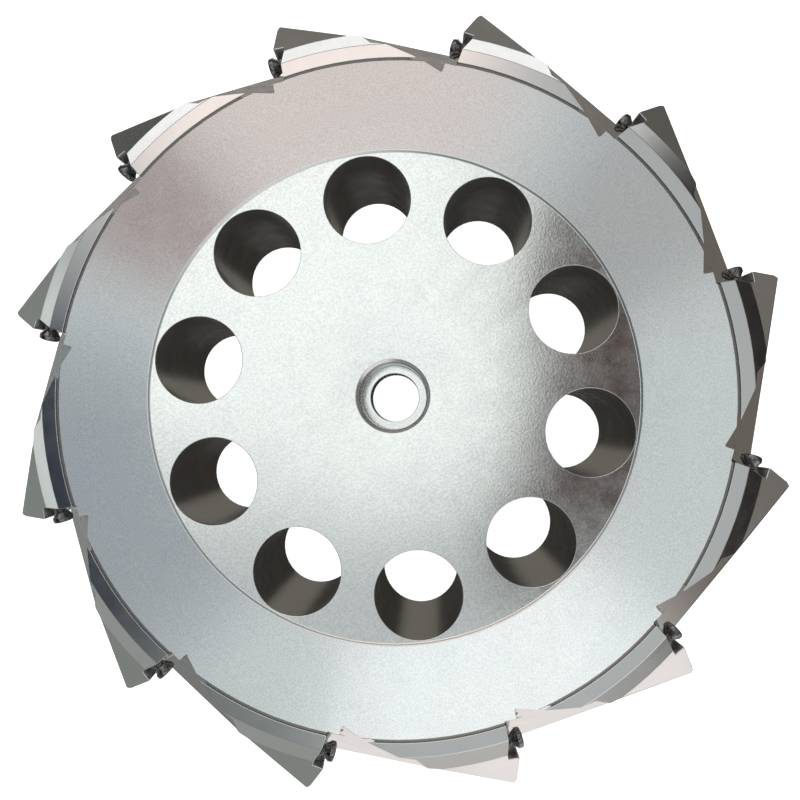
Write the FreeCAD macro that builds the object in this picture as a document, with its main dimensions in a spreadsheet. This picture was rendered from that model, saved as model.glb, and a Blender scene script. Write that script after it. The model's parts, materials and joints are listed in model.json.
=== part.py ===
import FreeCAD, Part
import math
import os
import Sketcher

# Face mill body with twelve insert seats, and the twelve clamp screws standing in them.
# Millimetres. The tool lies on its hub face at Z = 0 and the cutting face looks along +Z.
# Seat 1 is on the +X axis; seats are numbered counter-clockwise seen from the cutting face.

V = FreeCAD.Vector
os.makedirs("parts", exist_ok=True)
doc = FreeCAD.newDocument("face_mill")

# ---------------------------------------------------------------- driving dimensions
SIZES = {
    # cutting diameter: the circle through the seat centres
    "cutting_dia": 250.0,
    # height of the front face at its groove
    "body_height": 61.5,
    "teeth": 12,
    # hub and arbor interface, on the back
    "arbor_bore_dia": 50.0,
    "arbor_bore_depth": 32.0,
    "arbor_bore_chamfer": 1.0,
    "hub_dia": 92.0,
    "back_relief": 2.0,
    "drive_slot_width": 18.4,
    "drive_slot_depth": 10.0,
    # centre screw seat, on the front
    "centre_hole_dia": 17.5,
    "counterbore_dia": 23.2,
    "counterbore_depth": 15.6,
    "counterbore_chamfer": 1.2,
    # front face: dished centre, crowned ring, groove and the two bevelled bands
    "dish_dia": 167.4,
    "dish_depth": 0.6,
    "dish_slope": 2.0,
    "ring_slope": 2.0,
    "groove_dia": 233.0,
    "groove_width": 1.0,
    "groove_depth": 0.9,
    "band_one_dia": 244.6,
    "band_one_drop": 1.0,
    "band_two_dia": 260.5,
    # saw-toothed flange behind the seats
    "flange_dia": 287.0,
    "flange_slope": 30.0,
    "flange_back_height": 21.0,
    "flange_corner_radius": 3.0,
    "flange_corner_height": 40.0,
    "rim_back_dia": 234.0,
    # lightening holes
    "window_count": 10,
    "window_dia": 30.0,
    "window_pcd": 136.0,
    "window_phase": 7.5,
    # insert seat
    "insert_side": 12.7,
    "seat_depth": 8.3,
    "seat_axial_rake": 10.0,
    "seat_radial_rake": 5.0,
    "seat_wall": 4.0,
    "seat_cut_height": 6.0,
    "seat_side_gap": 0.5,
    "seat_front_notch": 9.6,
    "seat_relief_dia": 2.4,
    "thread_dia": 4.5,
    "thread_depth": 10.0,
    # chip flute: its floor leaves the front face as a chord and slopes outward with depth
    "flute_chord": 109.1,
    "flute_turn": -10.9,
    "flute_slope": 0.6,
    "flute_root_radius": 0.7,
    # relief facet down the back of each tooth, from its outer corner
    "facet_chord": 121.2,
    "facet_turn": 2.5,
    "facet_slope": 0.4,
    # wall of the flute, bending back outside the seat
    "wall_bend_dia": 264.0,
    "wall_bend_depth": 9.0,
    "wall_bend": 18.0,
    # clamp screw
    "screw_head_dia": 7.0,
    "screw_head_height": 1.8,
    "screw_head_edge": 0.35,
    "screw_cone_height": 1.7,
    "screw_shank_dia": 4.4,
    "screw_shank_length": 8.5,
    "screw_tip_chamfer": 0.6,
    "screw_stand_off": 2.2,
    "socket_core_dia": 2.8,
    "socket_lobe_dia": 0.9,
    "socket_lobe_circle": 2.9,
    "socket_depth": 1.7,
    "socket_lobes": 6,
}

sheet = doc.addObject("Spreadsheet::Sheet", "sizes")
for row, (alias, value) in enumerate(SIZES.items(), start=1):
    sheet.set("A%d" % row, alias)
    sheet.set("B%d" % row, str(value))
    sheet.setAlias("B%d" % row, alias)
doc.recompute()


def size(alias):
    """A driving dimension, read back from the sheet."""
    return float(sheet.get(alias))


TEETH = int(size("teeth"))
PITCH = 360.0 / TEETH
HEIGHT = size("body_height")
SEAT_RADIUS = size("cutting_dia") / 2
CUT_REACH = 90.0


# ---------------------------------------------------------------- helpers
def origin_feature(body, role):
    """The body's own origin plane or axis with this role."""
    for feature in body.Origin.OriginFeatures:
        if feature.Role == role:
            return feature
    raise RuntimeError("no origin feature " + role)


def sketch_on(body, role, name, offset=None):
    """An empty sketch on one of the body's own origin planes, moved by offset."""
    sketch = body.newObject("Sketcher::SketchObject", name)
    sketch.AttachmentSupport = [(origin_feature(body, role), "")]
    sketch.MapMode = "FlatFace"
    if offset is not None:
        sketch.AttachmentOffset = offset
    return sketch


def draw_polygon(sketch, points):
    """A closed outline whose corners are tied together."""
    first = sketch.GeometryCount
    for start, end in zip(points, points[1:] + points[:1]):
        sketch.addGeometry(Part.LineSegment(V(start[0], start[1], 0), V(end[0], end[1], 0)), False)
    last = sketch.GeometryCount - 1
    for index in range(first, last + 1):
        following = first if index == last else index + 1
        sketch.addConstraint(Sketcher.Constraint("Coincident", index, 2, following, 1))


def draw_outline(sketch, points, root_radius):
    """A closed outline whose first corner is rounded."""
    root = V(points[0][0], points[0][1], 0)
    ahead = (V(points[1][0], points[1][1], 0) - root).normalize()
    behind = (V(points[-1][0], points[-1][1], 0) - root).normalize()
    half_angle = ahead.getAngle(behind) / 2
    start = root + ahead * (root_radius / math.tan(half_angle))
    end = root + behind * (root_radius / math.tan(half_angle))
    inward = (ahead + behind).normalize()
    middle = root + inward * (root_radius / math.sin(half_angle) - root_radius)
    corners = [start] + [V(x, y, 0) for x, y in points[1:]] + [end]
    for index in range(len(corners) - 1):
        sketch.addGeometry(Part.LineSegment(corners[index], corners[index + 1]), False)
        if index > 0:
            sketch.addConstraint(Sketcher.Constraint("Coincident", index - 1, 2, index, 1))
    sketch.addGeometry(Part.Arc(end, middle, start), False)


def draw_circle(sketch, x, y, alias):
    """A circle whose diameter follows the sheet."""
    index = sketch.addGeometry(Part.Circle(V(x, y, 0), V(0, 0, 1), size(alias) / 2), False)
    constraint = sketch.addConstraint(Sketcher.Constraint("Diameter", index, size(alias)))
    sketch.setExpression("Constraints[%d]" % constraint, "sizes.%s" % alias)


def pocket(body, sketch, name, length_alias=None, reverse=False):
    """A pocket of the sheet's depth, or right through both ways, that is checked to cut."""
    before = body.Shape.Volume
    feature = body.newObject("PartDesign::Pocket", name)
    feature.Profile = sketch
    if length_alias is None:
        feature.Type = 1
        feature.Midplane = True
    else:
        feature.Type = 0
        feature.setExpression("Length", "sizes.%s" % length_alias)
        feature.Reversed = reverse
    body.Tip = feature
    doc.recompute()
    if not feature.Shape.Volume < before:
        raise RuntimeError(name + " cuts nothing")
    return feature


def polar_pattern(body, features, name, count_alias):
    """Copies of the features around the body's Z axis."""
    before = body.Shape.Volume
    pattern = body.newObject("PartDesign::PolarPattern", name)
    pattern.Originals = features
    pattern.Axis = (origin_feature(body, "Z_Axis"), [""])
    pattern.Angle = 360.0
    pattern.setExpression("Occurrences", "sizes.%s" % count_alias)
    body.Tip = pattern
    doc.recompute()
    if not pattern.Shape.Volume < before:
        raise RuntimeError(name + " cuts nothing")
    return pattern


def revolve(body, sketch, name):
    """A full turn of the sketch about the body's Z axis."""
    feature = body.newObject("PartDesign::Revolution", name)
    feature.Profile = sketch
    feature.ReferenceAxis = (origin_feature(body, "Z_Axis"), [""])
    feature.Angle = 360.0
    body.Tip = feature
    doc.recompute()
    return feature


def axes_placement(base, x_axis, z_axis):
    """A placement with its X and Z axes along the two given unit vectors."""
    y_axis = z_axis.cross(x_axis)
    rotation = FreeCAD.Rotation(x_axis, y_axis, z_axis, "ZXY")
    return FreeCAD.Placement(base, rotation)


def unit(x, y, z):
    return V(x, y, z).normalize()


# ---------------------------------------------------------------- seat and flute directions
rake_axial = math.radians(size("seat_axial_rake"))
rake_radial = math.radians(size("seat_radial_rake"))

# The seat faces the way the tool turns, leaning outward and toward the arbor.
seat_centre = V(SEAT_RADIUS, 0, HEIGHT - size("seat_depth"))
seat_normal = unit(math.sin(rake_radial) * math.cos(rake_axial),
                   math.cos(rake_radial) * math.cos(rake_axial),
                   -math.sin(rake_axial))
seat_outward = unit(math.cos(rake_radial), -math.sin(rake_radial), 0)
seat_placement = axes_placement(seat_centre, seat_outward, seat_normal)

# The wall that carries the seat is parallel to it and stands proud of it.
wall_offset = seat_normal.dot(seat_centre) + size("seat_wall")


class Wedge:
    """The space between the seat's wall and a plane that is part of the tooth in front.

    The plane leaves the front face as a chord at the given distance from the axis, turned
    from the seat's radius, and slopes outward toward the arbor. Its section is drawn square
    to the root line: root at the origin, X outward along the wall, Y away from the wall.
    """

    def __init__(self, prefix):
        turn = math.radians(size(prefix + "_turn"))
        slope = size(prefix + "_slope")
        self.floor_normal = V(math.cos(turn), math.sin(turn), slope)
        floor_offset = size(prefix + "_chord") + slope * HEIGHT
        direction = self.floor_normal.cross(seat_normal)
        if direction.z < 0:
            direction = direction * -1
        self.direction = direction.normalize()
        self.outward = seat_normal.cross(self.direction).normalize()
        if self.outward.x < 0:
            self.outward = self.outward * -1
        planes = FreeCAD.Matrix(self.floor_normal.x, self.floor_normal.y, self.floor_normal.z, 0,
                                seat_normal.x, seat_normal.y, seat_normal.z, 0,
                                0, 0, 1, 0,
                                0, 0, 0, 1)
        self.root = planes.inverse().multVec(V(floor_offset, wall_offset, HEIGHT))
        along = self.outward.cross(seat_normal)
        self.placement = axes_placement(self.root, self.outward, along)

    def floor_direction(self):
        """The floor line in the section, as a unit vector (x, y) pointing away from the wall."""
        line = self.direction.cross(self.floor_normal).normalize()
        x = line.dot(self.outward)
        y = line.dot(seat_normal)
        if y < 0:
            return (-x, -y)
        return (x, y)

    def outline(self, reach, run=None, bend=0.0):
        """Root, wall, and floor out to reach; the wall may bend back after a straight run."""
        floor_x, floor_y = self.floor_direction()
        floor_end = (reach * floor_x, reach * floor_y)
        if run is None:
            return [(0, 0), (reach, 0), (reach, floor_end[1]), floor_end]
        wall_end = (run + reach * math.cos(bend), -reach * math.sin(bend))
        return [(0, 0), (run, 0), wall_end, (wall_end[0], floor_end[1]), floor_end]


# ---------------------------------------------------------------- cutter body
def cutter_profile():
    """Half section of the turned blank as (radius, height) corners."""
    bore = size("arbor_bore_dia") / 2
    bore_edge = size("arbor_bore_chamfer")
    hub = size("hub_dia") / 2
    relief = size("back_relief")
    rim_back = size("rim_back_dia") / 2
    flange = size("flange_dia") / 2
    band_two = size("band_two_dia") / 2
    band_one = size("band_one_dia") / 2
    band_one_height = HEIGHT - size("band_one_drop")
    band_two_height = band_one_height - (band_two - band_one)
    slope = math.tan(math.radians(size("flange_slope")))
    flange_height = band_two_height - (flange - band_two) * slope
    groove = size("groove_dia") / 2
    groove_half = size("groove_width") / 2
    groove_floor = HEIGHT - size("groove_depth")
    dish = size("dish_dia") / 2
    ring_inner = dish + size("dish_depth")
    ring_rise = (groove - groove_half - ring_inner) * math.tan(math.radians(size("ring_slope")))
    dish_height = HEIGHT + ring_rise - size("dish_depth")
    mouth = size("counterbore_chamfer")
    counterbore = size("counterbore_dia") / 2
    dish_fall = (dish - counterbore - mouth) * math.tan(math.radians(size("dish_slope")))
    centre_height = dish_height - dish_fall
    shoulder = centre_height - size("counterbore_depth")
    hole = size("centre_hole_dia") / 2
    return [
        (bore + bore_edge, 0),
        (hub, 0),
        (hub + relief, relief),
        (rim_back, relief),
        (flange, size("flange_back_height")),
        (flange, flange_height),
        (band_two, band_two_height),
        (band_one, band_one_height),
        (groove + groove_half, HEIGHT),
        (groove + groove_half, groove_floor),
        (groove - groove_half, groove_floor),
        (groove - groove_half, HEIGHT),
        (ring_inner, HEIGHT + ring_rise),
        (dish, dish_height),
        (counterbore + mouth, centre_height),
        (counterbore, centre_height - mouth),
        (counterbore, shoulder),
        (hole, shoulder),
        (hole, size("arbor_bore_depth")),
        (bore, size("arbor_bore_depth")),
        (bore, bore_edge),
    ]


def seat_outline():
    """The pocket a square insert rests in, in the seat plane: X outward, Y toward the arbor."""
    half = size("insert_side") / math.sqrt(2)
    gap = size("seat_side_gap")
    ahead = 16.0
    return [
        (-size("seat_front_notch"), -ahead),
        (-half - gap, -gap),
        (0, half),
        (ahead, half - ahead),
        (ahead, -ahead),
    ]


def draw_corner(sketch, wedge, run, bend):
    """The sliver to take off, seen along Z, where the bent wall meets the rim of the flange.

    It is bounded by the arc that touches both the wall's line at one height and the rim, and by
    straight lines outside the flange.
    """
    rim = size("flange_dia") / 2
    radius = size("flange_corner_radius")
    clear = 4.0
    wall = wedge.outward * math.cos(bend) - seat_normal * math.sin(bend)
    wall_normal = wall.cross(wedge.direction)
    line = V(wall_normal.y, -wall_normal.x, 0).normalize()
    if line.x < 0:
        line = line * -1
    inward = V(line.y, -line.x, 0)
    start = wedge.root + wedge.outward * run
    height = size("flange_corner_height")
    start = start + wedge.direction * ((height - start.z) / wedge.direction.z)
    start = V(start.x, start.y, 0) + inward * radius
    middle_run = -start.dot(line) + math.sqrt(
        start.dot(line) ** 2 - start.dot(start) + (rim - radius) ** 2)
    centre = start + line * middle_run
    on_wall = centre - inward * radius
    on_rim = centre * (rim / centre.Length)
    between = ((on_wall - centre) + (on_rim - centre)).normalize()
    off_wall = on_wall - inward * clear
    far_wall = off_wall + line * (rim - on_wall.x + clear)
    far_rim = on_rim * ((rim + 2 * clear) / rim)
    sketch.addGeometry(Part.Arc(on_wall, centre + between * radius, on_rim), False)
    corners = [on_rim, far_rim, far_wall, off_wall, on_wall]
    for first, second in zip(corners, corners[1:]):
        sketch.addGeometry(Part.LineSegment(first, second), False)


cutter = doc.addObject("PartDesign::Body", "cutter_body")
cutter.Label = "cutter_body"

profile = sketch_on(cutter, "XZ_Plane", "blank_profile")
draw_polygon(profile, cutter_profile())
revolve(cutter, profile, "turned_blank")

# Lightening holes through the web.
window_angle = math.radians(size("window_phase"))
window_reach = size("window_pcd") / 2
window_sketch = sketch_on(cutter, "XY_Plane", "window_circle")
draw_circle(window_sketch, window_reach * math.cos(window_angle),
            window_reach * math.sin(window_angle), "window_dia")
window = pocket(cutter, window_sketch, "window_hole")
polar_pattern(cutter, [window], "window_ring", "window_count")

# Drive slot milled across the hub face.
slot_sketch = sketch_on(cutter, "XY_Plane", "drive_slot_outline")
slot_half = size("drive_slot_width") / 2
slot_end = size("hub_dia") / 2 + size("back_relief")
draw_polygon(slot_sketch, [(-slot_end, -slot_half), (slot_end, -slot_half),
                           (slot_end, slot_half), (-slot_end, slot_half)])
pocket(cutter, slot_sketch, "drive_slot", "drive_slot_depth", reverse=True)

# One chip flute with its relief facet, insert seat and thread, then the other eleven.
flute_wedge = Wedge("flute")
bend_x = size("wall_bend_dia") / 2
bend_z = HEIGHT - size("wall_bend_depth")
bend_y = (wall_offset - seat_normal.x * bend_x - seat_normal.z * bend_z) / seat_normal.y
wall_run = (V(bend_x, bend_y, bend_z) - flute_wedge.root).dot(flute_wedge.outward)
flute_sketch = sketch_on(cutter, "XY_Plane", "flute_section", flute_wedge.placement)
draw_outline(flute_sketch,
             flute_wedge.outline(CUT_REACH, wall_run, math.radians(size("wall_bend"))),
             size("flute_root_radius"))
flute = pocket(cutter, flute_sketch, "chip_flute")

corner_sketch = sketch_on(cutter, "XY_Plane", "flange_corner_outline")
draw_corner(corner_sketch, flute_wedge, wall_run, math.radians(size("wall_bend")))
corner = pocket(cutter, corner_sketch, "flange_corner")

facet_wedge = Wedge("facet")
facet_sketch = sketch_on(cutter, "XY_Plane", "facet_section", facet_wedge.placement)
draw_outline(facet_sketch, facet_wedge.outline(CUT_REACH), size("flute_root_radius"))
facet = pocket(cutter, facet_sketch, "tooth_facet")

seat_sketch = sketch_on(cutter, "XY_Plane", "seat_outline", seat_placement)
draw_polygon(seat_sketch, seat_outline())
seat = pocket(cutter, seat_sketch, "insert_seat", "seat_cut_height", reverse=True)

relief_sketch = sketch_on(cutter, "XY_Plane", "seat_relief_circle", seat_placement)
draw_circle(relief_sketch, 0, size("insert_side") / math.sqrt(2), "seat_relief_dia")
relief = pocket(cutter, relief_sketch, "seat_relief", "seat_cut_height", reverse=True)

thread_sketch = sketch_on(cutter, "XY_Plane", "thread_circle", seat_placement)
draw_circle(thread_sketch, 0, 0, "thread_dia")
thread = pocket(cutter, thread_sketch, "thread_hole", "thread_depth")

polar_pattern(cutter, [flute, corner, facet, seat, relief, thread], "tooth_ring", "teeth")

# ---------------------------------------------------------------- clamp screws
def screw_profile():
    """Half section of a clamp screw as (radius, height); the cone's foot is at height zero."""
    head = size("screw_head_dia") / 2
    shank = size("screw_shank_dia") / 2
    cone = size("screw_cone_height")
    top = cone + size("screw_head_height")
    edge = size("screw_head_edge")
    tip = size("screw_tip_chamfer")
    length = size("screw_shank_length")
    return [
        (0, -length),
        (shank - tip, -length),
        (shank, tip - length),
        (shank, 0),
        (head, cone),
        (head, top - edge),
        (head - edge, top),
        (0, top),
    ]


def make_screw(name, placement):
    """One clamp screw with a six-lobed socket, its axis on its body's Z axis."""
    screw = doc.addObject("PartDesign::Body", name)
    screw.Label = name
    turned = sketch_on(screw, "XZ_Plane", name + "_profile")
    draw_polygon(turned, screw_profile())
    revolve(screw, turned, name + "_blank")

    head_top = size("screw_cone_height") + size("screw_head_height")
    top_plane = FreeCAD.Placement(V(0, 0, head_top), FreeCAD.Rotation())
    core_sketch = sketch_on(screw, "XY_Plane", name + "_core_circle", top_plane)
    draw_circle(core_sketch, 0, 0, "socket_core_dia")
    pocket(screw, core_sketch, name + "_socket_core", "socket_depth")

    lobe_sketch = sketch_on(screw, "XY_Plane", name + "_lobe_circle", top_plane)
    draw_circle(lobe_sketch, size("socket_lobe_circle") / 2, 0, "socket_lobe_dia")
    lobe = pocket(screw, lobe_sketch, name + "_socket_lobe", "socket_depth")
    polar_pattern(screw, [lobe], name + "_socket", "socket_lobes")

    screw.Placement = placement
    return screw


screw_base = seat_centre + seat_normal * size("screw_stand_off")
screw_placement = axes_placement(screw_base, seat_outward, seat_normal)
for number in range(1, TEETH + 1):
    turn = FreeCAD.Placement(V(0, 0, 0), FreeCAD.Rotation(V(0, 0, 1), (number - 1) * PITCH))
    make_screw("insert_screw_%02d" % number, turn.multiply(screw_placement))
doc.recompute()

# ---------------------------------------------------------------- checks and export
for item in doc.Objects:
    if "Invalid" in item.State or "Error" in item.State:
        raise RuntimeError(item.Name + " did not build")
for node in doc.findObjects("PartDesign::Body"):
    shape = node.Shape
    if shape.isNull() or not shape.isValid() or len(shape.Solids) != 1:
        raise RuntimeError(node.Label + " is not one valid solid")
    shape.exportStep("parts/%s.step" % node.Label)
    print(node.Label, round(shape.Volume, 1))
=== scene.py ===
"""Looks of the face mill: plated body, black insert screws, floor, studio and camera."""

import json
import math

import bpy
from mathutils import Euler, Matrix, Vector


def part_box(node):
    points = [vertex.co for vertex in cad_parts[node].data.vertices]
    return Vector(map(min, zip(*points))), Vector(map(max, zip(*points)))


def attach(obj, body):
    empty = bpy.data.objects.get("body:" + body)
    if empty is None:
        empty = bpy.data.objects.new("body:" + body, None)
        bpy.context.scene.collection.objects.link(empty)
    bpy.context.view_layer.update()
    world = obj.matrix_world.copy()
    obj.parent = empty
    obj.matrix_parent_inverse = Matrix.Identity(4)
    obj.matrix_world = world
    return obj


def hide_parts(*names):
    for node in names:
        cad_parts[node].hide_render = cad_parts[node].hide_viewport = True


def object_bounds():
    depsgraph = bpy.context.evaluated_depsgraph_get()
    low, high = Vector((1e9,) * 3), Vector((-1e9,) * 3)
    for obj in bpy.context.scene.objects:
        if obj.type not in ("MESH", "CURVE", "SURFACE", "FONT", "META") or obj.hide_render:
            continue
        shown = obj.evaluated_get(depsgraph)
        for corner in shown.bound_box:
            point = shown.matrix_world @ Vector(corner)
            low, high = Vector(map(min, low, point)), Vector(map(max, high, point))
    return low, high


MM = 0.001

# Camera: a 36 mm lens on a 36 mm wide picture, above the cutting face and a little off its middle.
LENS_MM = 36.0
PICTURE_WIDTH_MM = 36.0
CAMERA_REACH = (0.01, 20.0)  # nearest and furthest distance it sees, in metres
CAMERA_OFFSET = Vector((9.64, -13.15, 271.13)) * MM  # from the top of the part's axis
CAMERA_TURN = Euler([math.radians(a) for a in (1.707, 2.248, -17.95)], "XYZ")
PICTURE_TURN = -17.7  # degrees from the picture's right-hand direction to the part's X

# Circles on the cutting face.
GROOVE_RADIUS_MM = 116.5
GROOVE_HALF_WIDTH_MM = 0.5
DISH_RADIUS_MM = 83.7

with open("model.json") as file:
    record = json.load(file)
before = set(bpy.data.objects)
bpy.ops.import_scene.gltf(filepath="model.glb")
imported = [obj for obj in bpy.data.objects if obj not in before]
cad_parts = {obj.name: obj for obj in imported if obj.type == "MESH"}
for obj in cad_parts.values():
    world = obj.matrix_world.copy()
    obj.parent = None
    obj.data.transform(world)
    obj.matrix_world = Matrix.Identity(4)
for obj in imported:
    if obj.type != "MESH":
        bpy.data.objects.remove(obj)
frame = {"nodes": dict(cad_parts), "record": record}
cad_low, cad_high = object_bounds()
body = frame["nodes"]["cutter_body"]
body_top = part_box("cutter_body")[1].z


# ---------------------------------------------------------------- node helpers


class Graph:
    """A node tree with short calls for adding and wiring nodes."""

    def __init__(self, tree):
        self.tree = tree
        tree.nodes.clear()

    def add(self, kind, inputs=None, **settings):
        node = self.tree.nodes.new(kind)
        for name, value in settings.items():
            setattr(node, name, value)
        for key, value in (inputs or {}).items():
            if isinstance(value, bpy.types.NodeSocket):
                self.tree.links.new(value, node.inputs[key])
            else:
                node.inputs[key].default_value = value
        return node

    def math(self, operation, first, second=0.0, third=0.0, clamp=False):
        inputs = {0: first, 1: second, 2: third}
        return self.add("ShaderNodeMath", inputs, operation=operation, use_clamp=clamp).outputs[0]

    def vector(self, operation, first, second=(0.0, 0.0, 0.0)):
        return self.add("ShaderNodeVectorMath", {0: first, 1: second}, operation=operation)

    def step(self, value, low, high, to_low=0.0, to_high=1.0):
        """A smooth ramp from to_low at low to to_high at high."""
        inputs = {
            "Value": value,
            "From Min": low,
            "From Max": high,
            "To Min": to_low,
            "To Max": to_high,
        }
        node = self.add("ShaderNodeMapRange", inputs, interpolation_type="SMOOTHSTEP")
        return node.outputs["Result"]

    def mix(self, factor, first, second, blend="MIX"):
        """First, changed by second as far as the factor says."""
        node = self.add("ShaderNodeMix", data_type="RGBA", blend_type=blend)
        for key, value in (("Factor", factor), ("A", first), ("B", second)):
            socket = next(s for s in node.inputs if s.name == key and s.enabled)
            if isinstance(value, bpy.types.NodeSocket):
                self.tree.links.new(value, socket)
            else:
                socket.default_value = value
        return next(s for s in node.outputs if s.enabled)

    def noise(self, vector, scale, detail=2.0, roughness=0.5):
        node = self.add(
            "ShaderNodeTexNoise",
            {"Vector": vector, "Scale": scale, "Detail": detail, "Roughness": roughness},
        )
        return node.outputs["Fac"]


def rgba(red, green, blue):
    return (red, green, blue, 1.0)


WHITE = rgba(1.0, 1.0, 1.0)

# ---------------------------------------------------------------- materials

# A span is where a smooth step begins and where it is full.
EDGE_SPAN = (0.985, 0.86)  # how alike the rounded and the true surface directions are
EDGE_SAMPLES = 6

# Noises: scale in features per metre, detail, roughness.
DISH_GRAIN = (1300.0, 3.0, 0.65)
RING_GRAIN = (1900.0, 2.0, 0.6)
CLOUDS = (30.0, 3.0, 0.55)
HANDLING = (140.0, 4.0, 0.6)
SCREW_PORES = (2600.0, 3.0, 0.6)
SCREW_PATCHES = (420.0, 3.0, 0.55)

# The body's plating. The dish and the ring on its cutting face are blasted.
FACE_SPAN = (0.985, 0.999)  # how nearly a surface of the cutting face looks along the axis
GROOVE_FACE_SPAN = (0.5, 0.7)  # the same for the groove with its rounded edges
GROOVE_FADE_MM = (0.12, -0.08)  # where the groove's painted shade begins and is full, past its half-width
BLASTED_FADE_MM = 0.25
DISH_FADE_MM = 0.3
PLATE_DULL = rgba(0.71, 0.715, 0.71)
PLATE_BRIGHT = rgba(0.725, 0.725, 0.715)
PLATE_RUBBED = rgba(0.86, 0.86, 0.85)
# painted shade: the colour the groove is darkened to, standing in for the shade that falls inside
# it
GROOVE_PAINTED_SHADE = rgba(0.2, 0.19, 0.18)
PLATE_EDGE_MM = 0.35  # reach of the rubbed edges
GRAIN_DEPTH_MM = 0.06
SMOOTH_BUMP, BLASTED_EXTRA_BUMP = 0.06, 0.2
SMOOTH_ROUGHNESS, BLASTED_ROUGHNESS = 0.23, 0.14
HANDLED_ROUGHNESS = 0.02  # how much handling adds or takes away
RUBBED_POLISH = 0.08  # how much rubbing takes off the roughness
SPECKLE = (0.88, 1.03)  # darkest and palest grain
SPECKLE_SPAN = (0.36, 0.62)
CLOUD_SPAN = (0.3, 0.7)
HANDLED_SPAN = (0.3, 0.7)
RUBBED_SPAN = (0.35, 0.6)

# The screws' black oxide.
OXIDE_DARK = rgba(0.11, 0.108, 0.105)
OXIDE_PALE = rgba(0.22, 0.215, 0.21)
OXIDE_RUBBED = rgba(0.62, 0.6, 0.58)
OXIDE_EDGE_MM = 0.15
OXIDE_ROUGHNESS = (0.06, 0.15)
OXIDE_ROUGHNESS_SPAN = (0.25, 0.75)
OXIDE_TONE_SPAN = (0.3, 0.7)
OXIDE_RUBBED_SPAN = (0.42, 0.6)
PORE_DEPTH_MM = 0.02
PORE_BUMP = 0.25


def edge_mask(graph, radius_mm):
    """1 along the sharp outer edges, 0 on the open faces."""
    rounded = graph.add("ShaderNodeBevel", {"Radius": radius_mm * MM}, samples=EDGE_SAMPLES)
    flat = graph.add("ShaderNodeNewGeometry")
    likeness = graph.vector("DOT_PRODUCT", rounded.outputs["Normal"], flat.outputs["Normal"])
    return graph.step(likeness.outputs["Value"], *EDGE_SPAN)


def plated_steel():
    """Nickel-plated steel: a blasted face and dish, satin bands and flutes, rubbed edges, painted
    shade in the groove.
    """
    material = bpy.data.materials.new("nickel_plate")
    material.use_nodes = True
    graph = Graph(material.node_tree)
    place = graph.add("ShaderNodeTexCoord")
    where = place.outputs["Object"]
    axes = graph.add("ShaderNodeSeparateXYZ", {0: where})
    flat_place = graph.add("ShaderNodeCombineXYZ", {0: axes.outputs[0], 1: axes.outputs[1]})
    radius = graph.vector("LENGTH", flat_place.outputs[0]).outputs["Value"]
    facing = graph.add("ShaderNodeSeparateXYZ", {0: place.outputs["Normal"]}).outputs[2]

    def inside(radius_mm, fade_mm):
        """1 within a circle round the axis, fading to 0 across it."""
        return graph.step(radius, (radius_mm + fade_mm) * MM, (radius_mm - fade_mm) * MM)

    front = graph.step(facing, *FACE_SPAN)
    within_groove = inside(GROOVE_RADIUS_MM - BLASTED_FADE_MM, BLASTED_FADE_MM)
    blasted = graph.math("MULTIPLY", front, within_groove)
    dish = inside(DISH_RADIUS_MM, DISH_FADE_MM)
    off_groove = graph.math("ABSOLUTE", graph.math("SUBTRACT", radius, GROOVE_RADIUS_MM * MM))
    groove_span = [(GROOVE_HALF_WIDTH_MM + fade) * MM for fade in GROOVE_FADE_MM]
    near_groove = graph.step(off_groove, *groove_span)
    # mask of the painted shade: the upward-facing surfaces within the groove's width
    groove_painted_shade = graph.math("MULTIPLY", near_groove, graph.step(facing, *GROOVE_FACE_SPAN))

    dish_grain = graph.noise(where, *DISH_GRAIN)
    ring_grain = graph.noise(where, *RING_GRAIN)
    cloud = graph.noise(where, *CLOUDS)
    handling = graph.noise(where, *HANDLING)

    grain_inputs = {0: dish, 2: ring_grain, 3: dish_grain}
    grain = graph.add("ShaderNodeMix", grain_inputs, data_type="FLOAT").outputs[0]
    bump = graph.add(
        "ShaderNodeBump",
        {
            "Strength": graph.math("MULTIPLY_ADD", blasted, BLASTED_EXTRA_BUMP, SMOOTH_BUMP),
            "Distance": GRAIN_DEPTH_MM * MM,
            "Height": grain,
        },
    )

    edges = edge_mask(graph, PLATE_EDGE_MM)
    rubbed = graph.math("MULTIPLY", edges, graph.step(handling, *RUBBED_SPAN))
    shade = graph.mix(graph.step(cloud, *CLOUD_SPAN), PLATE_DULL, PLATE_BRIGHT)
    speckle = graph.step(grain, *SPECKLE_SPAN, *SPECKLE)
    colour = graph.mix(blasted, shade, speckle, blend="MULTIPLY")
    colour = graph.mix(rubbed, colour, PLATE_RUBBED)
    # painted shade: darkens the groove as if shade fell in it
    colour = graph.mix(groove_painted_shade, colour, GROOVE_PAINTED_SHADE)

    roughness = graph.math(
        "ADD",
        graph.step(blasted, 0.0, 1.0, SMOOTH_ROUGHNESS, BLASTED_ROUGHNESS),
        graph.step(handling, *HANDLED_SPAN, -HANDLED_ROUGHNESS, HANDLED_ROUGHNESS),
    )
    polish = graph.math("MULTIPLY", rubbed, RUBBED_POLISH)
    roughness = graph.math("SUBTRACT", roughness, polish, clamp=True)

    shader = graph.add(
        "ShaderNodeBsdfPrincipled",
        {
            "Base Color": colour,
            "Metallic": 1.0,
            "Roughness": roughness,
            "Normal": bump.outputs["Normal"],
        },
    )
    graph.add("ShaderNodeOutputMaterial", {"Surface": shader.outputs[0]})
    return material


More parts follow.
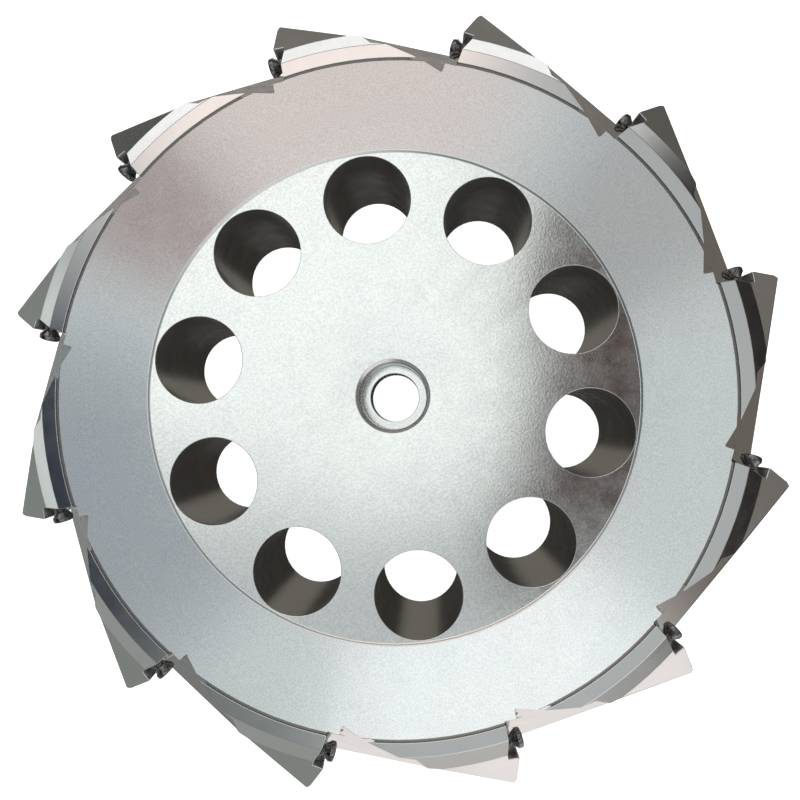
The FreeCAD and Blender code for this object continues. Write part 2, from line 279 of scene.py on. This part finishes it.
def black_screw_steel():
    """Black-oxide screw steel with a thin oil film and rubbed corners."""
    material = bpy.data.materials.new("black_oxide")
    material.use_nodes = True
    graph = Graph(material.node_tree)
    where = graph.add("ShaderNodeTexCoord").outputs["Object"]
    pores = graph.noise(where, *SCREW_PORES)
    patches = graph.noise(where, *SCREW_PATCHES)
    edges = edge_mask(graph, OXIDE_EDGE_MM)
    rubbed = graph.math("MULTIPLY", edges, graph.step(patches, *OXIDE_RUBBED_SPAN))
    tone = graph.mix(graph.step(patches, *OXIDE_TONE_SPAN), OXIDE_DARK, OXIDE_PALE)
    bump = graph.add(
        "ShaderNodeBump", {"Strength": PORE_BUMP, "Distance": PORE_DEPTH_MM * MM, "Height": pores}
    )
    shader = graph.add(
        "ShaderNodeBsdfPrincipled",
        {
            "Base Color": graph.mix(rubbed, tone, OXIDE_RUBBED),
            "Metallic": 1.0,
            "Roughness": graph.step(patches, *OXIDE_ROUGHNESS_SPAN, *OXIDE_ROUGHNESS),
            "Coat Weight": 0.6,
            "Coat Roughness": 0.06,
            "Normal": bump.outputs["Normal"],
        },
    )
    graph.add("ShaderNodeOutputMaterial", {"Surface": shader.outputs[0]})
    return material


# ---------------------------------------------------------------- body

JOIN_MM = 0.05  # vertices of neighbouring faces closer than this are one
FLAT_DEGREES = 0.3
BODY_EDGE_MM = 0.22
SHARP_DEGREES = 12.0
LARGE_FACE_WEIGHT = 80


def finish_body(node, material):
    """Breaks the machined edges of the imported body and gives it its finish."""
    mesh = node.data
    mesh.materials.clear()
    mesh.materials.append(material)
    mesh.attributes.remove(mesh.attributes["custom_normal"])
    mesh.polygons.foreach_set("use_smooth", [True] * len(mesh.polygons))
    weld = node.modifiers.new("join_faces", "WELD")
    weld.merge_threshold = JOIN_MM * MM
    flatten = node.modifiers.new("merge_flat_faces", "DECIMATE")
    flatten.decimate_type = "DISSOLVE"
    flatten.angle_limit = math.radians(FLAT_DEGREES)
    bevel = node.modifiers.new("broken_edges", "BEVEL")
    bevel.width = BODY_EDGE_MM * MM
    bevel.segments = 2
    bevel.limit_method = "ANGLE"
    bevel.angle_limit = math.radians(SHARP_DEGREES)
    bevel.use_clamp_overlap = False
    bevel.loop_slide = False
    normals = node.modifiers.new("flat_face_shading", "WEIGHTED_NORMAL")
    normals.mode = "FACE_AREA"
    normals.weight = LARGE_FACE_WEIGHT


# ---------------------------------------------------------------- screws

SCREW_SEGMENTS = 72
SCREW_SHARP_DEGREES = 38.0
SCREW_TURN_DEGREES = 47.0  # how much further each screw is turned than the one before
END_FLAT_MM = 0.3  # radius of the small flats that close both ends

# Six-lobed socket, from its floor to its mouth: depth below the head's top, extra radius.
SOCKET_LOBES = 6
SOCKET_DEPTH_MM = 1.6
SOCKET_CORE_MM = 1.42
SOCKET_LOBE_MM = 0.42
SOCKET_LOBE_FULLNESS = 0.8
SOCKET_RINGS = (
    (SOCKET_DEPTH_MM, -0.12),
    (SOCKET_DEPTH_MM - 0.1, 0.0),
    (0.35, 0.0),
    (0.16, 0.08),
    (0.1, 0.22),
)

# Head, cone and shank.
HEAD_RADIUS_MM = 3.5
HEAD_HEIGHT_MM = 1.8
HEAD_CORNER_MM = 0.55
HEAD_CORNER_STEPS = 5
CROWN_INNER_MM = SOCKET_CORE_MM + SOCKET_LOBE_MM + 0.5
CROWN_OUTER_MM = CROWN_INNER_MM + 0.25
CROWN_DROP_MM = 0.02  # how far the crown's inner circle lies below its outer one
CONE_HEIGHT_MM = 1.7
SHANK_RADIUS_MM = 2.2
TIP_CHAMFER_MM = 0.6

# Thread: its root and its flank are shares of half a pitch, and its crest is the rest.
THREAD_DEPTH_MM = 0.42
THREAD_CORE_MM = SHANK_RADIUS_MM - THREAD_DEPTH_MM
THREAD_PITCH_MM = 0.8
THREAD_ROOT_SHARE = 0.12
THREAD_FLANK_SHARE = 0.7
THREAD_STEPS = 8  # rings per pitch
THREAD_START_MM = 0.45  # below the cone's foot
LEAST_STEP_MM = 0.02  # the last thread ring stays this far from the tip

# Under the head: height above the head's underside, inset from its radius.
HEAD_EDGE_RINGS = ((0.2, 0.0), (0.05, 0.05), (0.0, 0.2))

# Where the cone runs into the thread: height above the cone's foot, radius.
NECK_RINGS = (
    (0.35, SHANK_RADIUS_MM + 0.25),
    (0.12, SHANK_RADIUS_MM),
    (-0.25, THREAD_CORE_MM),
)


def screw_rings(length_mm):
    """Rings from the socket floor to the tip: depth below the top, radius at a turn angle."""

    def round_ring(radius):
        return lambda angle: radius

    def lobed_ring(extra):
        def radius(angle):
            lobe = 0.5 + 0.5 * math.cos(SOCKET_LOBES * angle)
            return SOCKET_CORE_MM + extra + SOCKET_LOBE_MM * lobe**SOCKET_LOBE_FULLNESS

        return radius

    rings = [(SOCKET_DEPTH_MM, round_ring(END_FLAT_MM))]
    rings += [(depth, lobed_ring(extra)) for depth, extra in SOCKET_RINGS]
    rings += [(CROWN_DROP_MM, round_ring(CROWN_INNER_MM)), (0.0, round_ring(CROWN_OUTER_MM))]
    shoulder = HEAD_RADIUS_MM - HEAD_CORNER_MM
    for step in range(1, HEAD_CORNER_STEPS + 1):
        turn = math.radians(90) * step / HEAD_CORNER_STEPS
        drop = HEAD_CORNER_MM * (1 - math.cos(turn))
        rings.append((drop, round_ring(shoulder + HEAD_CORNER_MM * math.sin(turn))))
    for height, inset in HEAD_EDGE_RINGS:
        rings.append((HEAD_HEIGHT_MM - height, round_ring(HEAD_RADIUS_MM - inset)))
    cone_foot = HEAD_HEIGHT_MM + CONE_HEIGHT_MM
    rings += [(cone_foot - height, round_ring(radius)) for height, radius in NECK_RINGS]

    def thread_ring(depth, envelope):
        def radius(angle):
            phase = (depth / THREAD_PITCH_MM + angle / (2 * math.pi)) % 1.0
            crest = 1.0 - abs(2.0 * phase - 1.0)
            profile = min(max((crest - THREAD_ROOT_SHARE) / THREAD_FLANK_SHARE, 0.0), 1.0)
            return min(THREAD_CORE_MM + THREAD_DEPTH_MM * profile, envelope)

        return radius

    depth = cone_foot + THREAD_START_MM
    tip_start = length_mm - TIP_CHAMFER_MM
    while depth < length_mm - LEAST_STEP_MM:
        chamfer = max(depth - tip_start, 0.0)
        rings.append((depth, thread_ring(depth, SHANK_RADIUS_MM - chamfer)))
        depth += THREAD_PITCH_MM / THREAD_STEPS
    rings.append((length_mm, round_ring(SHANK_RADIUS_MM - TIP_CHAMFER_MM)))
    rings.append((length_mm, round_ring(END_FLAT_MM)))
    return rings


def screw_mesh(length_mm, material):
    """One closed skin, from the socket floor over the head to the tip, top at the origin."""
    vertices, faces = [], []
    rings = screw_rings(length_mm)
    for depth, radius in rings:
        for segment in range(SCREW_SEGMENTS):
            angle = 2 * math.pi * segment / SCREW_SEGMENTS
            reach = radius(angle) * MM
            vertices.append((reach * math.cos(angle), reach * math.sin(angle), -depth * MM))
    for ring in range(len(rings) - 1):
        for segment in range(SCREW_SEGMENTS):
            following = (segment + 1) % SCREW_SEGMENTS
            here, below = ring * SCREW_SEGMENTS, (ring + 1) * SCREW_SEGMENTS
            faces.append((here + segment, below + segment, below + following, here + following))
    faces.append(tuple(range(SCREW_SEGMENTS)))
    last = (len(rings) - 1) * SCREW_SEGMENTS
    faces.append(tuple(last + s for s in reversed(range(SCREW_SEGMENTS))))
    mesh = bpy.data.meshes.new("insert_screw_detail")
    mesh.from_pydata(vertices, [], faces)
    mesh.update()
    mesh.polygons.foreach_set("use_smooth", [True] * len(mesh.polygons))
    mesh.set_sharp_from_angle(angle=math.radians(SCREW_SHARP_DEGREES))
    mesh.materials.append(material)
    return mesh


def place_screws(record, material):
    """Puts a detailed screw on each seat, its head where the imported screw's head is."""
    seats = {m["name"]: m for m in record["mounts"] if m["name"].startswith("insert_seat_")}
    mesh = None
    for index in range(1, len(seats) + 1):
        number = f"{index:02d}"
        seat = seats[f"insert_seat_{number}"]
        foot = Vector(seat["pos_m"])
        axis = Vector(seat["axis"]).normalized()
        node = f"insert_screw_{number}"
        heights = [(v.co - foot).dot(axis) for v in frame["nodes"][node].data.vertices]
        if mesh is None:
            mesh = screw_mesh((max(heights) - min(heights)) / MM, material)
        top = foot + axis * max(heights)
        turn = Matrix.Rotation(math.radians(SCREW_TURN_DEGREES * index), 4, "Z")
        screw = bpy.data.objects.new(f"screw_detail_{number}", mesh)
        bpy.context.scene.collection.objects.link(screw)
        screw.matrix_world = (
            Matrix.Translation(top) @ axis.to_track_quat("Z", "Y").to_matrix().to_4x4() @ turn
        )
        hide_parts(node)
        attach(screw, f"screw_{number}")


# ---------------------------------------------------------------- studio

# The room around the part. Everything in it is placed by picture direction: degrees, 0 to the
# right, 90 to the top. The ceiling is seen in the dish: pale, dimmer toward the bottom of the
# picture, with the dark shape of the photographer's side of the room to the right. Distances
# along it are per unit of height above the part.
CEILING = rgba(1.3, 1.37, 1.34)
CEILING_DIM = rgba(0.62, 0.67, 0.67)
CEILING_DIM_SPAN = (0.05, -0.15)  # toward the top of the picture
CEILING_DARK = rgba(0.075, 0.05, 0.045)
CEILING_DARK_SPAN = (0.02, 0.08)  # toward the right of the picture
CEILING_DARK_SLANT = 0.15
CEILING_DARK_END = (-0.2, -0.08)  # toward the top of the picture
LEAST_HEIGHT = 0.01  # keeps the distances finite at the horizon
CEILING_LEAN = (145.0, 3.2)  # where its middle is: picture direction, degrees off overhead

# Below the ceiling, soft panels on a dome. Each ring starts at an angle from the middle of the
# ceiling and has a base colour and panels. A panel has its middle, the half-widths where it is
# full and where it ends, and its colour.
ROOM_EDGE = 2.6  # degrees over which one ring of panels fades into the next
ROOM_RINGS = (
    # high on the walls, seen in the ring
    (
        17.2,
        rgba(0.78, 0.84, 0.85),
        (
            (285.0, 20.0, 42.0, rgba(1.24, 1.32, 1.32)),
            (194.0, 10.0, 40.0, rgba(0.45, 0.5, 0.54)),
            (104.0, 14.0, 38.0, rgba(0.9, 0.81, 0.785)),
            (142.0, 4.0, 16.0, rgba(0.5, 0.42, 0.415)),
            (44.0, 6.0, 26.0, rgba(0.54, 0.555, 0.56)),
        ),
    ),
    # halfway down, seen in the shallow band
    (
        33.0,
        rgba(0.52, 0.545, 0.55),
        (
            (108.0, 18.0, 42.0, rgba(1.33, 1.18, 1.12)),
            (228.0, 12.0, 36.0, rgba(0.2, 0.22, 0.22)),
            (191.0, 13.0, 40.0, rgba(0.02, 0.025, 0.045)),
        ),
    ),
    # around the horizon, seen in the flange
    (
        62.0,
        rgba(0.2, 0.185, 0.17),
        (
            (298.0, 16.0, 42.0, rgba(1.12, 1.06, 1.04)),
            (185.0, 30.0, 60.0, rgba(0.27, 0.29, 0.27)),
            (240.0, 8.0, 26.0, rgba(0.27, 0.29, 0.275)),
            (137.0, 8.0, 22.0, rgba(0.1, 0.105, 0.095)),
            (46.0, 8.0, 22.0, rgba(0.12, 0.11, 0.1)),
        ),
    ),
    # below the horizon, seen in the steep band
    (
        104.0,
        rgba(0.36, 0.37, 0.36),
        (
            (100.0, 34.0, 58.0, rgba(1.32, 1.32, 1.31)),
            (178.0, 14.0, 28.0, rgba(0.8, 0.85, 0.84)),
            (281.0, 10.0, 26.0, rgba(0.54, 0.53, 0.51)),
            (1.0, 34.0, 50.0, rgba(0.015, 0.012, 0.012)),
        ),
    ),
    # toward the floor, seen in the flutes
    (
        128.0,
        rgba(0.17, 0.15, 0.13),
        (
            (275.0, 22.0, 45.0, rgba(1.0, 0.94, 0.92)),
            (190.0, 25.0, 55.0, rgba(0.2, 0.21, 0.2)),
        ),
    ),
    # straight down, seen in the walls of the holes
    (150.0, rgba(0.03, 0.027, 0.024), ((95.0, 30.0, 60.0, rgba(0.16, 0.15, 0.13)),)),
)

FLOOR_COLOUR = rgba(0.8, 0.8, 0.8)
FLOOR_HALF_WIDTH = 3.0  # metres
FLOOR_GAP_MM = 0.5  # between the floor and the part


def picture_direction(azimuth, polar):
    """Unit vector at a picture azimuth and an angle from overhead, in the part's frame."""
    turn = math.radians(azimuth + PICTURE_TURN)
    tip = math.radians(polar)
    return Vector((math.sin(tip) * math.cos(turn), math.sin(tip) * math.sin(turn), math.cos(tip)))


def light_room():
    """A soft studio all round the part; the camera itself sees plain white beyond the floor."""
    world = bpy.data.worlds.new("studio")
    bpy.context.scene.world = world
    world.use_nodes = True
    graph = Graph(world.node_tree)
    sight = graph.vector("NORMALIZE", graph.add("ShaderNodeTexCoord").outputs["Generated"])
    axes = graph.add("ShaderNodeSeparateXYZ", {0: sight.outputs[0]})

    def along(azimuth, polar):
        aim = tuple(picture_direction(azimuth, polar))
        return graph.vector("DOT_PRODUCT", sight.outputs[0], aim).outputs["Value"]

    height = graph.math("MAXIMUM", axes.outputs[2], LEAST_HEIGHT)
    rightward = graph.math("DIVIDE", along(0.0, 90.0), height)
    upward = graph.math("DIVIDE", along(90.0, 90.0), height)
    room = graph.mix(graph.step(upward, *CEILING_DIM_SPAN), CEILING, CEILING_DIM)
    slanted = graph.math("SUBTRACT", rightward, graph.math("MULTIPLY", upward, CEILING_DARK_SLANT))
    dark = graph.math(
        "MULTIPLY", graph.step(slanted, *CEILING_DARK_SPAN), graph.step(upward, *CEILING_DARK_END)
    )
    room = graph.mix(dark, room, CEILING_DARK)

    polar = graph.math("ARCCOSINE", along(*CEILING_LEAN))
    level = graph.add("ShaderNodeCombineXYZ", {0: axes.outputs[0], 1: axes.outputs[1]})
    heading = graph.vector("NORMALIZE", level.outputs[0]).outputs[0]
    for top, base, panels in ROOM_RINGS:
        shade = base
        for azimuth, full, end, colour in panels:
            turn = math.radians(azimuth + PICTURE_TURN)
            aim = (math.cos(turn), math.sin(turn), 0.0)
            closeness = graph.vector("DOT_PRODUCT", heading, aim).outputs["Value"]
            low, high = math.cos(math.radians(end)), math.cos(math.radians(full))
            shade = graph.mix(graph.step(closeness, low, high), shade, colour)
        edge = (math.radians(top - ROOM_EDGE / 2), math.radians(top + ROOM_EDGE / 2))
        room = graph.mix(graph.step(polar, *edge), room, shade)
    studio = graph.add("ShaderNodeBackground", {"Color": room, "Strength": 1.0})
    plain = graph.add("ShaderNodeBackground", {"Color": WHITE, "Strength": 1.0})
    seen = graph.add("ShaderNodeLightPath").outputs["Is Camera Ray"]
    both = graph.add("ShaderNodeMixShader", {0: seen, 1: studio.outputs[0], 2: plain.outputs[0]})
    graph.add("ShaderNodeOutputWorld", {"Surface": both.outputs[0]})


def lay_floor():
    """A plain white floor under the part."""
    half = FLOOR_HALF_WIDTH
    mesh = bpy.data.meshes.new("floor")
    corners = [(-half, -half, 0), (half, -half, 0), (half, half, 0), (-half, half, 0)]
    mesh.from_pydata(corners, [], [(0, 1, 2, 3)])
    material = bpy.data.materials.new("white_floor")
    material.use_nodes = True
    graph = Graph(material.node_tree)
    shader = graph.add(
        "ShaderNodeBsdfPrincipled",
        {
            "Base Color": FLOOR_COLOUR,
            "Roughness": 0.9,
            "Emission Color": WHITE,
            "Emission Strength": 1.0,
        },
    )
    graph.add("ShaderNodeOutputMaterial", {"Surface": shader.outputs[0]})
    mesh.materials.append(material)
    floor = bpy.data.objects.new("studio_floor", mesh)
    floor.location.z = cad_low.z - FLOOR_GAP_MM * MM
    floor.visible_glossy = False
    bpy.context.scene.collection.objects.link(floor)


def aim_camera():
    """The camera, held over the middle of the part's top."""
    camera = bpy.data.cameras.new("camera")
    camera.lens = LENS_MM
    camera.sensor_width = PICTURE_WIDTH_MM
    camera.clip_start, camera.clip_end = CAMERA_REACH
    holder = bpy.data.objects.new("camera", camera)
    holder.location = Vector((0.0, 0.0, body_top)) + CAMERA_OFFSET
    holder.rotation_euler = CAMERA_TURN
    bpy.context.scene.collection.objects.link(holder)
    bpy.context.scene.camera = holder


# ---------------------------------------------------------------- assembly

finish_body(body, plated_steel())
place_screws(frame["record"], black_screw_steel())
light_room()
lay_floor()
aim_camera()
bpy.context.scene.view_settings.view_transform = "Standard"
